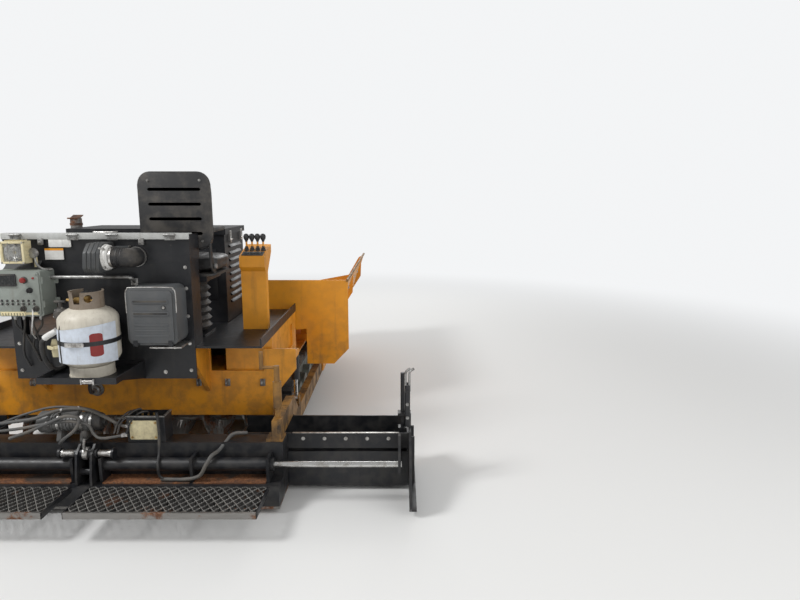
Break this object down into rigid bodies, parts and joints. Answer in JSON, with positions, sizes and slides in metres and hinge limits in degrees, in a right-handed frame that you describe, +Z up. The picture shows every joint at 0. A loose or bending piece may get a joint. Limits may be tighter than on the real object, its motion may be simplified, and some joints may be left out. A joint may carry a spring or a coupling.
{
  "type": "asphalt paver",
  "caption": "Compact tracked asphalt paver with a folding hopper, slat conveyor, augers and a floating heated screed with sliding extensions.",
  "frame": {"origin": "on the ground, at the middle of the overall length and on the centre line", "axes": "+Y in the paving direction, +X to the right, +Z up"},
  "size_m": [3.581, 4.2, 1.84],
  "materials": {
    "yellow_paint": "worn satin enamel",
    "black_paint": "worn satin enamel",
    "track_rubber": "dusty matte",
    "seat_vinyl": "smooth vinyl",
    "grey_paint": "satin",
    "tank_paint": "chalky enamel",
    "lamp_trim": "satin",
    "worn_steel": "worn bare steel",
    "polished_rod": "polished",
    "rusty_steel": "rusted"
  },
  "bodies": {
    "chassis": {"main_frame": "yellow_paint", "side_tanks": "yellow_paint", "track_right": "track_rubber", "track_left": "track_rubber", "undercarriage_right": "grey_paint", "undercarriage_left": "grey_paint", "engine": "grey_paint", "hood": "black_paint", "operator_floor": "black_paint", "rear_bulkhead": "black_paint", "console": "black_paint", "seat_post": "black_paint", "seat": "seat_vinyl", "control_stand": "yellow_paint", "gas_tank": "tank_paint", "tank_shelf": "black_paint", "tool_box": "grey_paint", "control_box": "grey_paint", "air_cleaner": "black_paint", "work_lamp": "lamp_trim", "exhaust": "worn_steel", "hopper_rear_wall": "yellow_paint", "hopper_apron": "track_rubber", "conveyor": "worn_steel", "push_beam": "yellow_paint", "auger_hanger": "yellow_paint"},
    "hood_lid": {"hood_lid": "black_paint"},
    "screed": {"tow_arm_right": "yellow_paint", "tow_arm_left": "yellow_paint", "screed_frame": "black_paint", "screed_plate": "worn_steel", "screed_deck": "rusty_steel", "crown_jack": "black_paint", "blower": "worn_steel", "screed_box": "black_paint"},
    "wing_right": {"wing_right": "yellow_paint"},
    "wing_barrel_right": {"wing_barrel_right": "black_paint"},
    "wing_rod_right": {"wing_rod_right": "polished_rod"},
    "push_roller_right": {"push_roller_right": "black_paint"},
    "auger_right": {"auger_right": "worn_steel"},
    "lift_barrel_right": {"lift_barrel_right": "black_paint"},
    "lift_rod_right": {"lift_rod_right": "polished_rod"},
    "extension_right": {"extension_right": "black_paint", "ext_rod_right": "polished_rod"},
    "end_gate_right": {"end_gate_right": "black_paint"},
    "walkway_right": {"walkway_right": "worn_steel"},
    "wing_left": {"wing_left": "yellow_paint"},
    "wing_barrel_left": {"wing_barrel_left": "black_paint"},
    "wing_rod_left": {"wing_rod_left": "polished_rod"},
    "push_roller_left": {"push_roller_left": "black_paint"},
    "auger_left": {"auger_left": "worn_steel"},
    "lift_barrel_left": {"lift_barrel_left": "black_paint"},
    "lift_rod_left": {"lift_rod_left": "polished_rod"},
    "extension_left": {"extension_left": "black_paint", "ext_rod_left": "polished_rod"},
    "end_gate_left": {"end_gate_left": "black_paint"},
    "walkway_left": {"walkway_left": "worn_steel"}
  },
  "joints": [
    {"name": "hood_open", "type": "hinge", "parent": "chassis", "child": "hood_lid", "pos_m": [0, -0.269, 1.46], "axis": [-1, 0, 0], "range_deg": [0, 70]},
    {"name": "screed_lift", "type": "hinge", "parent": "chassis", "child": "screed", "pos_m": [0, 0.2, 0.285], "axis": [-1, 0, 0], "range_deg": [0, 4]},
    {"name": "wing_fold_right", "type": "hinge", "parent": "chassis", "child": "wing_right", "pos_m": [0.594, 0, 0.65], "axis": [0, -1, 0], "range_deg": [0, 45]},
    {"name": "wing_cylinder_turn_right", "type": "hinge", "parent": "chassis", "child": "wing_barrel_right", "pos_m": [0.638, 1.29, 0.35], "axis": [0, -1, 0], "range_deg": [0, 29.5]},
    {"name": "wing_cylinder_slide_right", "type": "slide", "parent": "wing_barrel_right", "child": "wing_rod_right", "axis": [0.7892, 0, 0.6141], "range_m": [0, 0.1694]},
    {"name": "push_roller_spin_right", "type": "hinge", "parent": "chassis", "child": "push_roller_right", "pos_m": [0.3, 2.015, 0.4], "axis": [1, 0, 0], "continuous": true},
    {"name": "auger_spin_right", "type": "hinge", "parent": "chassis", "child": "auger_right", "pos_m": [0.4, -1, 0.26], "axis": [1, 0, 0], "continuous": true},
    {"name": "lift_cylinder_turn_right", "type": "hinge", "parent": "chassis", "child": "lift_barrel_right", "pos_m": [1.015, -1.01, 0.7], "axis": [-1, 0, 0], "range_deg": [-2.5, 0]},
    {"name": "lift_cylinder_slide_right", "type": "slide", "parent": "lift_barrel_right", "child": "lift_rod_right", "axis": [0, 0, 1], "range_m": [0, 0.085]},
    {"name": "extension_slide_right", "type": "slide", "parent": "screed", "child": "extension_right", "axis": [1, 0, 0], "range_m": [-0.6, 0.2]},
    {"name": "end_gate_slide_right", "type": "slide", "parent": "extension_right", "child": "end_gate_right", "axis": [0, 0, 1], "range_m": [0, 0.08]},
    {"name": "walkway_fold_right", "type": "hinge", "parent": "screed", "child": "walkway_right", "pos_m": [0.5, -1.81, 0.15], "axis": [-1, 0, 0], "range_deg": [0, 85]},
    {"name": "wing_fold_left", "type": "hinge", "parent": "chassis", "child": "wing_left", "pos_m": [-0.594, 0, 0.65], "axis": [0, 1, 0], "range_deg": [0, 45]},
    {"name": "wing_cylinder_turn_left", "type": "hinge", "parent": "chassis", "child": "wing_barrel_left", "pos_m": [-0.638, 1.29, 0.35], "axis": [0, 1, 0], "range_deg": [0, 29.5]},
    {"name": "wing_cylinder_slide_left", "type": "slide", "parent": "wing_barrel_left", "child": "wing_rod_left", "axis": [-0.7892, 0, 0.6141], "range_m": [0, 0.1694]},
    {"name": "push_roller_spin_left", "type": "hinge", "parent": "chassis", "child": "push_roller_left", "pos_m": [-0.3, 2.015, 0.4], "axis": [1, 0, 0], "continuous": true},
    {"name": "auger_spin_left", "type": "hinge", "parent": "chassis", "child": "auger_left", "pos_m": [-0.4, -1, 0.26], "axis": [1, 0, 0], "continuous": true},
    {"name": "lift_cylinder_turn_left", "type": "hinge", "parent": "chassis", "child": "lift_barrel_left", "pos_m": [-1.015, -1.01, 0.7], "axis": [-1, 0, 0], "range_deg": [-2.5, 0]},
    {"name": "lift_cylinder_slide_left", "type": "slide", "parent": "lift_barrel_left", "child": "lift_rod_left", "axis": [0, 0, 1], "range_m": [0, 0.085]},
    {"name": "extension_slide_left", "type": "slide", "parent": "screed", "child": "extension_left", "axis": [-1, 0, 0], "range_m": [-0.6, 0.2]},
    {"name": "end_gate_slide_left", "type": "slide", "parent": "extension_left", "child": "end_gate_left", "axis": [0, 0, 1], "range_m": [0, 0.08]},
    {"name": "walkway_fold_left", "type": "hinge", "parent": "screed", "child": "walkway_left", "pos_m": [-0.5, -1.81, 0.15], "axis": [-1, 0, 0], "range_deg": [0, 85]}
  ],
  "couplings": [
    {"joint": "wing_cylinder_turn_right", "follows": "wing_fold_right", "ratio": 0.64514},
    {"joint": "wing_cylinder_slide_right", "follows": "wing_fold_right", "m_per_rad": 0.21442},
    {"joint": "lift_cylinder_turn_right", "follows": "screed_lift", "ratio": -0.59471},
    {"joint": "lift_cylinder_slide_right", "follows": "screed_lift", "m_per_rad": 1.2027},
    {"joint": "wing_cylinder_turn_left", "follows": "wing_fold_left", "ratio": 0.64514},
    {"joint": "wing_cylinder_slide_left", "follows": "wing_fold_left", "m_per_rad": 0.21442},
    {"joint": "lift_cylinder_turn_left", "follows": "screed_lift", "ratio": -0.59471},
    {"joint": "lift_cylinder_slide_left", "follows": "screed_lift", "m_per_rad": 1.2027}
  ]
}
